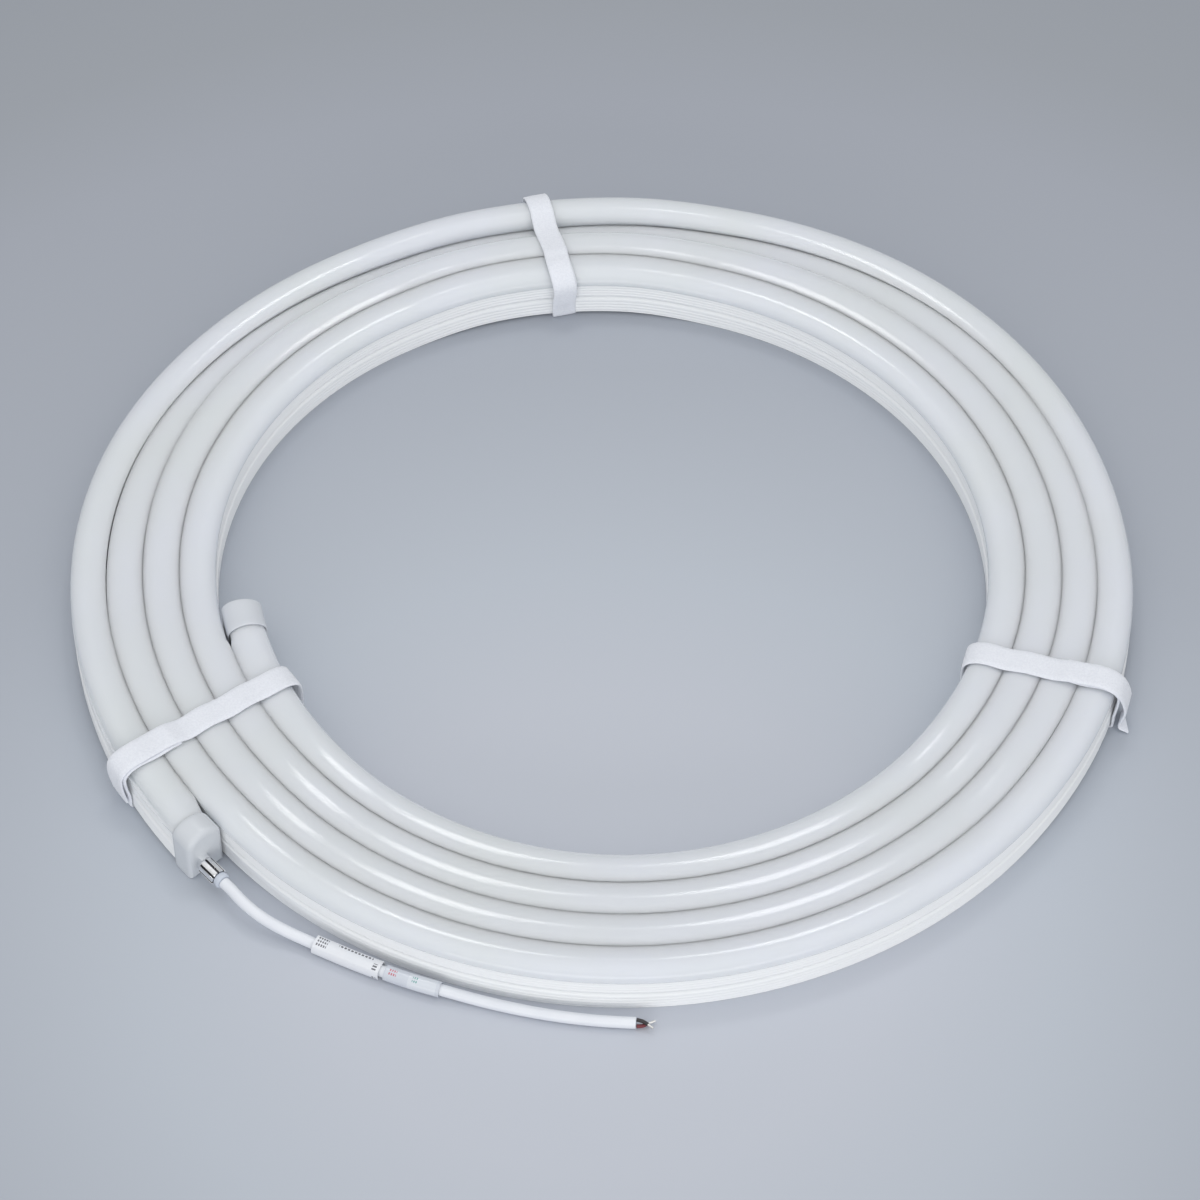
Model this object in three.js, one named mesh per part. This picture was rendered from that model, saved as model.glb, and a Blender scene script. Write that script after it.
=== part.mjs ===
// A flat coil of white silicone light strip, held by three fabric straps,
// with end caps and a short feed cable. Millimetres, +Z up, resting on z = 0.
import * as THREE from 'three';
import { mergeVertices } from 'three/addons/utils/BufferGeometryUtils.js';

const { degToRad: radians, radToDeg: degrees, euclideanModulo, smoothstep } = THREE.MathUtils;

// Strip section: a ribbed lower body, a thin groove, an upper wall and a domed top
const stripWidth = 15.7;
const stripGap = 0.3;
const wallHeight = 18;
const domeHeight = 5.5;
const lowerBodyHeight = 9;
const grooveHeight = 0.8;
const grooveDepth = 1;
const grooveSlope = 0.1;
const upperWallInset = 0.4;
const lipHeight = 1;
const domeSegments = 8;

// Coil: radius of the first turn's outer edge, its ovality, and where each end lies
const firstTurnRadius = 170;
const startCompass = 178;
const innerTipAngle = 10;
const outerTipAngle = 1483;
const stepAngle = 7.5;
const shortestStep = 0.2;
const ovality = [
  { waves: 2, cos: 2.3, sin: -2.2 },
  { waves: 3, cos: 0, sin: 0.8 },
  { waves: 4, cos: 0.3, sin: -0.2 },
];

// The third turn sags low behind the second, and the fourth closes in over it
const thirdTurnPulls = [
  { compass: 101, turn: 3, halfWidth: 96, depth: 10.7 },
  { compass: 12, turn: 3, halfWidth: 45, depth: 2.2 },
];
const fourthTurnPulls = [
  { compass: 105, turn: 4, halfWidth: 84, depth: 10 },
  { compass: 18, turn: 4, halfWidth: 42, depth: 2 },
];
const sag = { compass: 101, turn: 3, halfWidth: 96, depth: 4.8 };

// End caps slip over the strip's ends; their zone and runs are degrees of winding
const capClearance = 0.3;
const capWall = 0.7;
const capEndWall = 2;
const capRounding = 1.2;
const innerCapLength = 16;
const feedCapLength = 12;
const capSideShift = 1.4;
const capZone = 8;
const capShiftRun = 30;
const capLiftRun = 12;

// Feed outlet on the outer end cap
const outletHeight = 9.8;
const outletOutward = 3.2;
const bossRadius = 3.7;
const bossLength = 2.6;
const bossRounding = 0.5;
const collarRadius = 4;
const collarBore = 2.9;
const collarLength = 9;
const collarBars = 8;
const collarSlotDepth = 0.7;
const collarSlotShare = 0.26;
const bushingRadius = 3.5;
const bushingLength = 3;
const bushingRounding = 0.5;
const bushingSides = 20;
const seat = 0.3;

// Feed cable, its route over the floor, and what is on it
const cableRadius = 2.5;
const cableSides = 10;
const cableSteps = 22;
const cableRoute = [
  [-155.8, -171, 9.3],
  [-149.5, -176.7, 8.1],
  [-141.6, -181.8, 6.5],
  [-131.2, -186.8, 4.6],
  [-120.4, -191.8, 3.6],
  [-109.6, -197.4, 3.6],
  [-97.2, -203.2, 3.6],
  [-85.2, -208.4, 3.6],
  [-72.6, -212.9, 3.5],
  [-56.3, -218, 2.7],
  [-39.9, -222.6, 2.6],
  [-23.5, -226.2, 2.6],
  [-7.1, -228.6, 2.6],
  [7.6, -229.8, 2.6],
];
const labelSpan = [-125, -97];
const labelHalfWidth = 3.8;
const labelHalfHeight = 3.3;
const labelWall = 0.35;
const labelSquareness = 0.55;
const sleeveSpan = [-95.5, -72.5];
const sleeveRadius = 3.4;
const sleeveWall = 0.55;
const wrapSides = 16;
const wrapSteps = 5;
const routeSamples = 400;
const wireRadius = 0.8;
const tipRadius = 0.5;
const wireSides = 8;
const wireSteps = 4;
const blackWireRoute = [
  [0.3, 1, 0.9],
  [2.9, 0.3, 0.9],
  [5, -0.9, 0.6],
];
const redWireRoute = [
  [0.3, -0.9, -1],
  [2.7, -0.5, -1.2],
  [5, 0.6, -1],
];
const blackTipEnd = [7.2, -2.3, 0.2];
const redTipEnd = [7.9, 2, -0.8];

// Straps: fabric bands round the bundle, each standing a little off its outer side
const strapWidth = 12;
const strapThickness = 1.2;
const strapOverlap = 1.1;
const strapClearance = 0.3;
const strapLift = 1.5;
const liftPlateau = 10;
const liftEase = 15;
const strapCorner = 0.5;
const strapFootRise = 2.5;
const strapFootInset = 1.5;
const bulgeMiddle = 0.55;
const bulgeSpread = 0.7;
const facetRoom = 2.2;
const straps = [
  { name: 'strap_left', compass: 206.8, direction: 214.1, turns: 5, standoff: 1.8, overlap: [9, 19] },
  { name: 'strap_back', compass: 97.9, direction: 103.5, turns: 4, standoff: 0.6, overlap: [4, 13] },
  { name: 'strap_right', compass: 340.4, direction: 343.6, turns: 4, standoff: 2.6, tail: 7.5 },
];

// The right strap's free end as [share of its length, height], outwards along its top and back below
const tailRoot = 3;
const tailProfile = [[0.35, 2.8], [1, 1.1], [1, 0.05], [0.3, 0.6]];

const weldDistance = 1e-4;

// Values that follow from the sizes above
const pitch = stripWidth + stripGap;
const halfStrip = stripWidth / 2;
const capOffset = capClearance + capWall;
const capLift = capOffset;
const crownHeight = wallHeight + domeHeight;

const siliconeWhite = new THREE.MeshStandardMaterial({ color: 0xdfe2e6, roughness: 0.42, metalness: 0 });
const capMilky = new THREE.MeshStandardMaterial({ color: 0xe4e6ea, roughness: 0.35, metalness: 0 });
const strapFabric = new THREE.MeshStandardMaterial({ color: 0xeef0f6, roughness: 0.95, metalness: 0 });
const collarMetal = new THREE.MeshStandardMaterial({ color: 0xbfc0c2, roughness: 0.25, metalness: 1 });
const bushingGrey = new THREE.MeshStandardMaterial({ color: 0xc6cbd6, roughness: 0.3, metalness: 0 });
const jacketWhite = new THREE.MeshStandardMaterial({ color: 0xf0f1f4, roughness: 0.35, metalness: 0 });
const labelWhite = new THREE.MeshStandardMaterial({ color: 0xf2f3f5, roughness: 0.5, metalness: 0 });
const sleeveClear = new THREE.MeshStandardMaterial({ color: 0xe6e9ee, roughness: 0.15, metalness: 0 });
const insulationBlack = new THREE.MeshStandardMaterial({ color: 0x2a2626, roughness: 0.5, metalness: 0 });
const insulationRed = new THREE.MeshStandardMaterial({ color: 0x7a2430, roughness: 0.5, metalness: 0 });
const tinnedCopper = new THREE.MeshStandardMaterial({ color: 0xd9d6d0, roughness: 0.3, metalness: 1 });

// A smooth bump of height 1 at one compass angle of one turn
function bump(angle, place) {
  const centre = euclideanModulo(place.compass - startCompass, 360) + 360 * (place.turn - 1);
  const share = Math.abs(angle - centre) / place.halfWidth;
  return share < 1 ? Math.cos(share * Math.PI / 2) ** 2 : 0;
}

function pull(angle, places) {
  return places.reduce((sum, place) => sum + place.depth * bump(angle, place), 0);
}

// Radius of the line between one turn and the next, at a winding angle in degrees
function laneRadius(angle) {
  const compass = radians(startCompass + angle);
  const swing = ({ waves, cos, sin }) => cos * Math.cos(waves * compass) + sin * Math.sin(waves * compass);
  const wobble = ovality.reduce((sum, wave) => sum + swing(wave), 0);
  return firstTurnRadius + pitch * angle / 360 + wobble;
}

// The caps are wider than the strip, so each end eases sideways to make room
function endShift(angle) {
  const fromInner = smoothstep(angle, innerTipAngle + capZone, innerTipAngle + capZone + capShiftRun);
  const fromOuter = smoothstep(angle, outerTipAngle - capZone - capShiftRun, outerTipAngle - capZone);
  return capSideShift * (fromOuter - (1 - fromInner));
}

function degreesApart(a, b) {
  return Math.abs(euclideanModulo(a - b + 180, 360) - 180);
}

// The strip lifts a little where it passes over a strap, and inside its caps
function liftAt(angle) {
  const innerZone = innerTipAngle + capZone;
  const outerZone = outerTipAngle - capZone;
  const nearInnerCap = 1 - smoothstep(angle, innerZone, innerZone + capLiftRun);
  const nearOuterCap = smoothstep(angle, outerZone - capLiftRun, outerZone);
  const overStraps = straps.map((strap) => {
    const away = degreesApart(startCompass + angle, strap.compass);
    return strapLift * (1 - smoothstep(away, liftPlateau, liftPlateau + liftEase));
  });
  return Math.max(capLift * nearInnerCap, capLift * nearOuterCap, ...overStraps);
}

function stripEdges(angle) {
  const lane = laneRadius(angle) + endShift(angle) - pull(angle, fourthTurnPulls);
  return {
    inner: lane - pitch + stripGap / 2,
    outer: lane - stripGap / 2 - pull(angle, thirdTurnPulls),
  };
}

// The section as [radius, height] points, anticlockwise seen with the radius to the right
function stripSection(angle, offset = 0) {
  const { inner, outer } = stripEdges(angle);
  const share = (outer - inner) / stripWidth;
  const wallTop = wallHeight - sag.depth * bump(angle, sag);
  const across = (x) => inner + (x + halfStrip) * share;
  const topAt = (x) => {
    const place = -halfStrip + (x + halfStrip) * share;
    return wallTop + domeHeight * Math.sqrt(Math.max(0, 1 - (place / halfStrip) ** 2));
  };
  const grow = halfStrip + offset / share;
  const floor = liftAt(angle) - offset;
  const seam = lowerBodyHeight + floor;
  const points = [];
  points.push([across(-grow), floor]);
  points.push([across(grow), floor]);
  if (offset === 0) {
    points.push([across(grow), seam]);
    points.push([across(grow - grooveDepth), seam + grooveSlope]);
    points.push([across(grow - upperWallInset), seam + grooveHeight]);
    points.push([across(grow - upperWallInset), topAt(halfStrip) + floor - lipHeight]);
  }
  for (let i = 0; i <= domeSegments; i += 1) {
    const turn = Math.PI * i / domeSegments;
    const x = halfStrip * Math.cos(turn);
    points.push([across(grow * Math.cos(turn)), topAt(x) + offset * Math.sin(turn) + liftAt(angle)]);
  }
  if (offset === 0) {
    points.push([across(-grow + upperWallInset), wallTop + floor - lipHeight]);
    points.push([across(-grow + upperWallInset), seam + grooveHeight]);
    points.push([across(-grow + grooveDepth), seam + grooveSlope]);
    points.push([across(-grow), seam]);
  }
  return points;
}

// Places a section on its radial plane
function ring(angle, section) {
  const compass = radians(startCompass + angle);
  return section.map(([r, z]) => new THREE.Vector3(r * Math.cos(compass), r * Math.sin(compass), z));
}

function middle(points) {
  return points.reduce((sum, point) => sum.add(point), new THREE.Vector3()).divideScalar(points.length);
}

// A closed solid skinned over rings of equal length, each end closed by a fan
function skin(rings) {
  const count = rings[0].length;
  const vertices = rings.flat();
  const faces = [];
  for (let i = 0; i + 1 < rings.length; i += 1) {
    for (let j = 0; j < count; j += 1) {
      const a = i * count + j;
      const b = i * count + (j + 1) % count;
      faces.push([a, a + count, b], [b, a + count, b + count]);
    }
  }
  const first = vertices.push(middle(rings[0])) - 1;
  const last = vertices.push(middle(rings.at(-1))) - 1;
  const lastRing = (rings.length - 1) * count;
  for (let j = 0; j < count; j += 1) {
    const next = (j + 1) % count;
    faces.push([first, j, next], [last, lastRing + next, lastRing + j]);
  }
  return solidFrom(vertices, faces);
}

// Turns the faces over where they point in
function solidFrom(vertices, faces) {
  const cross = new THREE.Vector3();
  const wedge = ([a, b, c]) => vertices[a].dot(cross.crossVectors(vertices[b], vertices[c]));
  const volume = faces.reduce((sum, face) => sum + wedge(face), 0);
  const index = faces.flatMap(([a, b, c]) => (volume < 0 ? [a, c, b] : [a, b, c]));
  const positions = vertices.flatMap((vertex) => vertex.toArray());
  const geometry = new THREE.BufferGeometry();
  geometry.setAttribute('position', new THREE.Float32BufferAttribute(positions, 3));
  geometry.setIndex(index);
  geometry.computeVertexNormals();
  return geometry;
}

function angleFor(length, angle) {
  return degrees(length / laneRadius(angle));
}

function stripGeometry() {
  const start = innerTipAngle + angleFor(capEndWall + capClearance, innerTipAngle);
  const end = outerTipAngle - angleFor(capEndWall + capClearance, outerTipAngle);
  const angles = [start];
  const firstStep = Math.ceil(start / stepAngle + shortestStep);
  const lastStep = Math.floor(end / stepAngle - shortestStep);
  for (let k = firstStep; k <= lastStep; k += 1) {
    angles.push(k * stepAngle);
  }
  angles.push(end);
  return skin(angles.map((angle) => ring(angle, stripSection(angle))));
}

function shrink(section, amount) {
  const radii = section.map(([r]) => r);
  const heights = section.map(([, z]) => z);
  const midR = (Math.min(...radii) + Math.max(...radii)) / 2;
  const midZ = (Math.min(...heights) + Math.max(...heights)) / 2;
  const halfR = Math.max(...radii) - midR;
  const halfZ = Math.max(...heights) - midZ;
  return section.map(([r, z]) => [
    midR + (r - midR) * (1 - amount / halfR),
    midZ + (z - midZ) * (1 - amount / halfZ),
  ]);
}

// A cup over one end: outside from the tip to the mouth, then the pocket back to its floor
function capRings(tip, sign, length) {
  const at = (distance) => tip + sign * angleFor(distance, tip);
  const outside = (distance, inset = 0) => {
    const section = stripSection(at(distance), capOffset);
    return ring(at(distance), shrink(section, inset));
  };
  const pocket = (distance) => ring(at(distance), stripSection(at(distance), capClearance));
  const rim = [0, 45, 90].map(radians).map((turn) => (
    outside(capRounding * (1 - Math.cos(turn)), capRounding * (1 - Math.sin(turn)))));
  return [
    ...rim,
    outside(length / 2),
    outside(length),
    pocket(length),
    pocket(length / 2),
    pocket(capEndWall),
  ];
}

// The outlet's frame: on the outer end face, pointing along the strip
const outletCompass = radians(startCompass + outerTipAngle);
const outletEdges = stripEdges(outerTipAngle);
const outletRadius = (outletEdges.inner + outletEdges.outer) / 2 + outletOutward;
const outletPoint = new THREE.Vector3(
  outletRadius * Math.cos(outletCompass), outletRadius * Math.sin(outletCompass), outletHeight);
const outletAxis = new THREE.Vector3(-Math.sin(outletCompass), Math.cos(outletCompass), 0);
const outletSide = new THREE.Vector3(Math.cos(outletCompass), Math.sin(outletCompass), 0);

function outletAt(distance) {
  return outletPoint.clone().addScaledVector(outletAxis, distance);
}

// The outer cap has a round boss moulded on its end face
function feedCapGeometry() {
  const cup = capRings(outerTipAngle, -1, feedCapLength);
  const face = cup[0];
  const circle = (distance, radius) => face.map((point) => {
    const away = point.clone().sub(outletPoint);
    const side = away.dot(outletSide);
    const up = away.z;
    const reach = radius / Math.hypot(side, up);
    const spot = outletAt(distance).addScaledVector(outletSide, side * reach);
    return spot.setZ(spot.z + up * reach);
  });
  const boss = [
    circle(bossLength, bossRadius - bossRounding),
    circle(bossLength - bossRounding, bossRadius),
    circle(0, bossRadius),
  ];
  return skin([...boss, ...cup]);
}

// Turned and extruded pieces are made along +Z and laid on the outlet's axis
function alongOutlet(mesh, distance) {
  mesh.quaternion.setFromUnitVectors(new THREE.Vector3(0, 0, 1), outletAxis);
  mesh.position.copy(outletAt(distance));
  return mesh;
}

function collarGeometry() {
  const outline = [];
  const slotHalf = Math.PI / collarBars * collarSlotShare;
  for (let i = 0; i < collarBars; i += 1) {
    const centre = 2 * Math.PI * i / collarBars;
    const next = centre + 2 * Math.PI / collarBars;
    const spots = [
      [centre - slotHalf, collarRadius - collarSlotDepth],
      [centre + slotHalf, collarRadius - collarSlotDepth],
      [centre + slotHalf, collarRadius],
      [(centre + next) / 2, collarRadius],
      [next - slotHalf, collarRadius],
    ];
    outline.push(...spots.map(([turn, r]) => new THREE.Vector2(r * Math.cos(turn), r * Math.sin(turn))));
  }
  const shape = new THREE.Shape(outline);
  const bore = [];
  for (let i = 0; i < 2 * collarBars; i += 1) {
    const turn = -Math.PI * i / collarBars;
    bore.push(new THREE.Vector2(collarBore * Math.cos(turn), collarBore * Math.sin(turn)));
  }
  shape.holes.push(new THREE.Path(bore));
  return new THREE.ExtrudeGeometry(shape, { depth: collarLength, bevelEnabled: false });
}

// The bushing has a flange outside the collar and a spigot inside it
function bushingGeometry() {
  const spigotRadius = collarBore - seat;
  const spigotLength = collarLength - seat;
  const profile = [
    [0, -spigotLength],
    [spigotRadius, -spigotLength],
    [spigotRadius, seat],
    [bushingRadius, seat],
    [bushingRadius, bushingLength - bushingRounding],
    [bushingRadius - bushingRounding, bushingLength],
    [0, bushingLength],
  ].map(([r, z]) => new THREE.Vector2(r, z));
  return new THREE.LatheGeometry(profile, bushingSides).rotateX(Math.PI / 2);
}

const collarStart = bossLength + seat;
const bushingStart = collarStart + collarLength;
const cableStart = bushingStart + bushingLength + seat;

function cableCurve() {
  const exit = [outletAt(cableStart), outletAt(cableStart + 2 * cableRadius)];
  const rest = cableRoute.map((point) => new THREE.Vector3(...point));
  return new THREE.CatmullRomCurve3([...exit, ...rest], false, 'centripetal');
}

function circlePath(radius, sides, Kind) {
  const points = [];
  for (let i = 0; i < sides; i += 1) {
    const turn = 2 * Math.PI * i / sides;
    points.push(new THREE.Vector2(radius * Math.cos(turn), radius * Math.sin(turn)));
  }
  return new Kind(points);
}

function tube(curve, radius, sides, steps) {
  const shape = circlePath(radius, sides, THREE.Shape);
  return new THREE.ExtrudeGeometry(shape, { extrudePath: curve, steps, bevelEnabled: false });
}

// The stretch of the cable between two x positions
function cableStretch(curve, span) {
  const route = curve.getSpacedPoints(routeSamples);
  const samples = route.filter((point) => point.x >= span[0] && point.x <= span[1]);
  const points = [];
  for (let i = 0; i <= wrapSteps; i += 1) {
    points.push(samples[Math.round(i * (samples.length - 1) / wrapSteps)]);
  }
  return new THREE.CatmullRomCurve3(points, false, 'centripetal');
}

// A rounded box outline round the cable, upright and flat on its long sides
function wrapOutline(halfHeight, halfWidth, Kind) {
  const points = [];
  for (let i = 0; i < wrapSides; i += 1) {
    const turn = 2 * Math.PI * (i + 0.5) / wrapSides;
    const [up, across] = [Math.cos(turn), Math.sin(turn)];
    const reach = 1 / Math.max(Math.abs(up), Math.abs(across)) ** labelSquareness;
    points.push(new THREE.Vector2(halfHeight * reach * up, halfWidth * reach * across));
  }
  return new Kind(points);
}

function labelGeometry(curve) {
  const shape = wrapOutline(labelHalfHeight, labelHalfWidth, THREE.Shape);
  shape.holes.push(wrapOutline(labelHalfHeight - labelWall, labelHalfWidth - labelWall, THREE.Path));
  const extrudePath = cableStretch(curve, labelSpan);
  return new THREE.ExtrudeGeometry(shape, { extrudePath, steps: wrapSteps, bevelEnabled: false });
}

function sleeveGeometry(curve) {
  const shape = circlePath(sleeveRadius, wrapSides, THREE.Shape);
  shape.holes.push(circlePath(sleeveRadius - sleeveWall, wrapSides, THREE.Path));
  const extrudePath = cableStretch(curve, sleeveSpan);
  return new THREE.ExtrudeGeometry(shape, { extrudePath, steps: wrapSteps, bevelEnabled: false });
}

// Wires leave the cable's end: along it, across it and up
function wireCurve(curve, route) {
  const end = curve.getPoint(1);
  const along = curve.getTangent(1).setZ(0).normalize();
  const across = new THREE.Vector3(-along.y, along.x, 0);
  const points = route.map(([ahead, side, up]) => end.clone()
    .addScaledVector(along, ahead).addScaledVector(across, side).add(new THREE.Vector3(0, 0, up)));
  return new THREE.CatmullRomCurve3(points, false, 'centripetal');
}

function tipCurve(wire, curve, tipEnd) {
  const from = wire.getPoint(1).addScaledVector(wire.getTangent(1), seat);
  const to = wireCurve(curve, [tipEnd, tipEnd]).getPoint(0);
  return new THREE.LineCurve3(from, to);
}

// A strap's inner side in the plane of its direction and its height, from low to high and back under
function strapPath(strap, low, high, crown) {
  const top = strapLift + crownHeight + strapClearance;
  const shoulder = strapLift + wallHeight;
  const bulge = (height) => strap.standoff * (1 - ((height / shoulder - bulgeMiddle) / bulgeSpread) ** 2);
  const arc = (turn) => [crown * (1 - Math.cos(turn)), shoulder + (top - shoulder) * Math.sin(turn)];
  const path = [
    [low + strapCorner, strapThickness],
    [low, strapThickness + strapCorner],
    [low, shoulder / 2],
    [low, shoulder],
  ];
  for (const turn of [30, 60, 90].map(radians)) {
    const [over, height] = arc(turn);
    path.push([low + over, height]);
  }
  for (const share of [0.2, 0.4, 0.6, 0.8]) {
    path.push([low + crown + share * (high - low - 2 * crown), top]);
  }
  for (const turn of [90, 60, 30].map(radians)) {
    const [over, height] = arc(turn);
    path.push([high - over + bulge(shoulder) * Math.cos(turn), height]);
  }
  for (const height of [shoulder, bulgeMiddle * shoulder, strapThickness + strapFootRise]) {
    path.push([high + bulge(height), height]);
  }
  path.push([high - strapFootInset, strapThickness]);
  return path;
}

// The strap's outer side, one thickness off its inner side, or two where its ends overlap
function strapOutside(strap, path) {
  return path.map((point, i) => {
    const before = path.at(i - 1);
    const after = path[(i + 1) % path.length];
    const run = new THREE.Vector2(after[0] - before[0], after[1] - before[1]).normalize();
    const [from, to] = strap.overlap ?? [path.length, path.length];
    const doubled = i >= from && i <= to && point[1] > 2 * strapThickness;
    const thickness = strapThickness + (doubled ? strapOverlap : 0);
    return [point[0] - run.y * thickness, Math.max(0, point[1] + run.x * thickness)];
  });
}

// One band round the bundle, extruded across its width
function strapGeometry(strap) {
  const firstAngle = euclideanModulo(strap.compass - startCompass, 360);
  const lastAngle = firstAngle + 360 * (strap.turns - 1);
  const skew = radians(strap.direction - strap.compass);
  const innerEdge = stripEdges(firstAngle).inner;
  const outerEdge = stripEdges(lastAngle).outer;
  const pivot = (innerEdge + outerEdge) / 2;
  const facetSag = laneRadius(lastAngle) * (1 - Math.cos(radians(stepAngle / 2)));
  const side = strapClearance + Math.abs(Math.tan(skew)) * strapWidth / 2 + facetRoom * facetSag;
  const low = (innerEdge - pivot) / Math.cos(skew) - side;
  const high = (outerEdge - pivot) / Math.cos(skew) + side;
  const path = strapPath(strap, low, high, halfStrip + side);
  const outside = strapOutside(strap, path);
  if (strap.tail) {
    const foot = outside.length - 2;
    const [reach, height] = outside[foot];
    const tail = tailProfile.map(([share, z]) => [reach + strap.tail * share, z]);
    outside.splice(foot, 0, [reach, height + tailRoot], ...tail);
  }
  const shape = new THREE.Shape(outside.map(([s, z]) => new THREE.Vector2(s, z)));
  shape.holes.push(new THREE.Path(path.map(([s, z]) => new THREE.Vector2(s, z)).reverse()));
  const geometry = new THREE.ExtrudeGeometry(shape, { depth: strapWidth, bevelEnabled: false });
  geometry.translate(0, 0, -strapWidth / 2).rotateX(Math.PI / 2).rotateZ(radians(strap.direction));
  const compass = radians(strap.compass);
  return geometry.translate(pivot * Math.cos(compass), pivot * Math.sin(compass), 0);
}

// A named mesh with welded vertices and no collapsed faces
function named(name, geometry, material) {
  geometry.deleteAttribute('uv');
  geometry.deleteAttribute('normal');
  const merged = mergeVertices(geometry, weldDistance);
  const corners = Array.from(merged.index.array);
  const kept = [];
  for (let i = 0; i < corners.length; i += 3) {
    const [a, b, c] = corners.slice(i, i + 3);
    if (a !== b && b !== c && c !== a) kept.push(a, b, c);
  }
  merged.setIndex(kept);
  merged.computeVertexNormals();
  const mesh = new THREE.Mesh(merged, material);
  mesh.name = name;
  return mesh;
}

function buildCoil() {
  const coil = new THREE.Group();
  coil.add(named('neon_strip', stripGeometry(), siliconeWhite));
  coil.add(named('inner_end_cap', skin(capRings(innerTipAngle, 1, innerCapLength)), capMilky));
  coil.add(named('feed_end_cap', feedCapGeometry(), capMilky));
  coil.add(alongOutlet(named('crimp_collar', collarGeometry(), collarMetal), collarStart));
  coil.add(alongOutlet(named('cable_bushing', bushingGeometry(), bushingGrey), bushingStart));
  for (const strap of straps) {
    coil.add(named(strap.name, strapGeometry(strap), strapFabric));
  }
  return coil;
}

function buildCable() {
  const cable = new THREE.Group();
  const curve = cableCurve();
  const black = wireCurve(curve, blackWireRoute);
  const red = wireCurve(curve, redWireRoute);
  const tip = (wire, end) => tube(tipCurve(wire, curve, end), tipRadius, wireSides, 1);
  cable.add(named('cable_jacket', tube(curve, cableRadius, cableSides, cableSteps), jacketWhite));
  cable.add(named('cable_label', labelGeometry(curve), labelWhite));
  cable.add(named('marker_sleeve', sleeveGeometry(curve), sleeveClear));
  cable.add(named('wire_black', tube(black, wireRadius, wireSides, wireSteps), insulationBlack));
  cable.add(named('wire_red', tube(red, wireRadius, wireSides, wireSteps), insulationRed));
  cable.add(named('wire_black_tip', tip(black, blackTipEnd), tinnedCopper));
  cable.add(named('wire_red_tip', tip(red, redTipEnd), tinnedCopper));
  return cable;
}

// The origin is under the middle of the coil, cable apart, on the floor
const coil = buildCoil();
const middleOfCoil = new THREE.Box3().setFromObject(coil, true).getCenter(new THREE.Vector3());
const reel = new THREE.Group();
reel.add(coil, buildCable());
reel.position.set(-middleOfCoil.x, -middleOfCoil.y, 0);

export default reel;
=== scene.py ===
import math

import bmesh
import bpy
import numpy as np
from mathutils import Matrix, Vector


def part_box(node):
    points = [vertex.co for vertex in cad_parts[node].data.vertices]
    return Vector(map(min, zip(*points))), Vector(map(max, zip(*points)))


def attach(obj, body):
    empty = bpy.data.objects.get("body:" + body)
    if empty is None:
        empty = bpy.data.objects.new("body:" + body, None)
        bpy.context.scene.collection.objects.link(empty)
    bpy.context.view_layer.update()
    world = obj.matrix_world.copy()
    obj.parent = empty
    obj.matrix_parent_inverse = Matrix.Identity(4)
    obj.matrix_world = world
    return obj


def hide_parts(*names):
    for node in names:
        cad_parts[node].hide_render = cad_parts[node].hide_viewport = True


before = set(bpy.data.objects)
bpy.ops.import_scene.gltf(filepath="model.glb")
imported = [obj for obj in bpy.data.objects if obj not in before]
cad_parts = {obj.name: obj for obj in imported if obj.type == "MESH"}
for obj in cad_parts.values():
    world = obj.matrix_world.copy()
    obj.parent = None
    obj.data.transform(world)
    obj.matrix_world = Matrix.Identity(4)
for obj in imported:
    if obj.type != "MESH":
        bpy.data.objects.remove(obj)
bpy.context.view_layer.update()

MM = 0.001

# Strip section in mm: a ribbed body, a seam, a ribbed upper wall and a domed top
STRIP_WIDTH = 15.7
STRIP_GAP = 0.3
WALL_HEIGHT = 18.0
DOME_HEIGHT = 5.5
LOWER_BODY_HEIGHT = 9.0
GROOVE_HEIGHT = 0.8
GROOVE_DEPTH = 1.5
UPPER_WALL_INSET = 0.4
LIP_HEIGHT = 1.0
LOWER_RIBS = 4
UPPER_RIBS = 4
UPPER_RIBS_TOP = 16.5
RIB_DEPTH = 0.45
LEDGE_CHAMFER = 0.8
FOOT_ROUNDING = 0.5
DOME_STEPS = 26
PRESSED_DOME_HALF = 12.0
SUNK_DOME_FLATNESS = 14.0

# Coil in mm and degrees, with places given as compass, turn, half width and depth
FIRST_TURN_RADIUS = 170.0
START_COMPASS = 178.0
INNER_TIP_ANGLE = 10.0
OUTER_TIP_ANGLE = 1483.0
OVALITY = ((2, 2.3, -2.2), (3, 0.0, 0.8), (4, 0.3, -0.2))
THIRD_TURN_PULLS = ((105, 3, 84, 10.0), (18, 3, 42, 2.0))
FOURTH_TURN_PULLS = ((105, 4, 84, 10.0), (18, 4, 42, 2.0))
SAG = (101, 3, 96, 6.4)
RING_STEP = 2.0
RING_ROOM = 0.2

# Between the turns: lips that press together, and the places where they part or press harder
LIP_GAP = -0.1
OPEN_GAPS = ((170, 3, 27, 0.8), (20, 3, 34, 0.22), (328, 3, 20, 0.4), (101, 3, 90, -0.9))

# End caps
CAP_CLEARANCE = 0.3
CAP_WALL = 0.7
CAP_END_WALL = 2.0
CAP_ROUNDING = 1.2
INNER_CAP_LENGTH = 16.0
FEED_CAP_LENGTH = 12.0
CAP_SIDE_SHIFT = 1.4
CAP_ZONE = 8.0
CAP_SHIFT_RUN = 30.0
CAP_LIFT_RUN = 12.0
INNER_SNUG = (6.0, 3.0)
OUTER_SNUG = (3.3, 2.5)
FEED_CAP_ROUNDING = 2.6
INNER_CAP_TAPER = 0.6
FEED_CAP_TAPER = 2.5
CAP_RIM_INSET = 0.5

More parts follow.
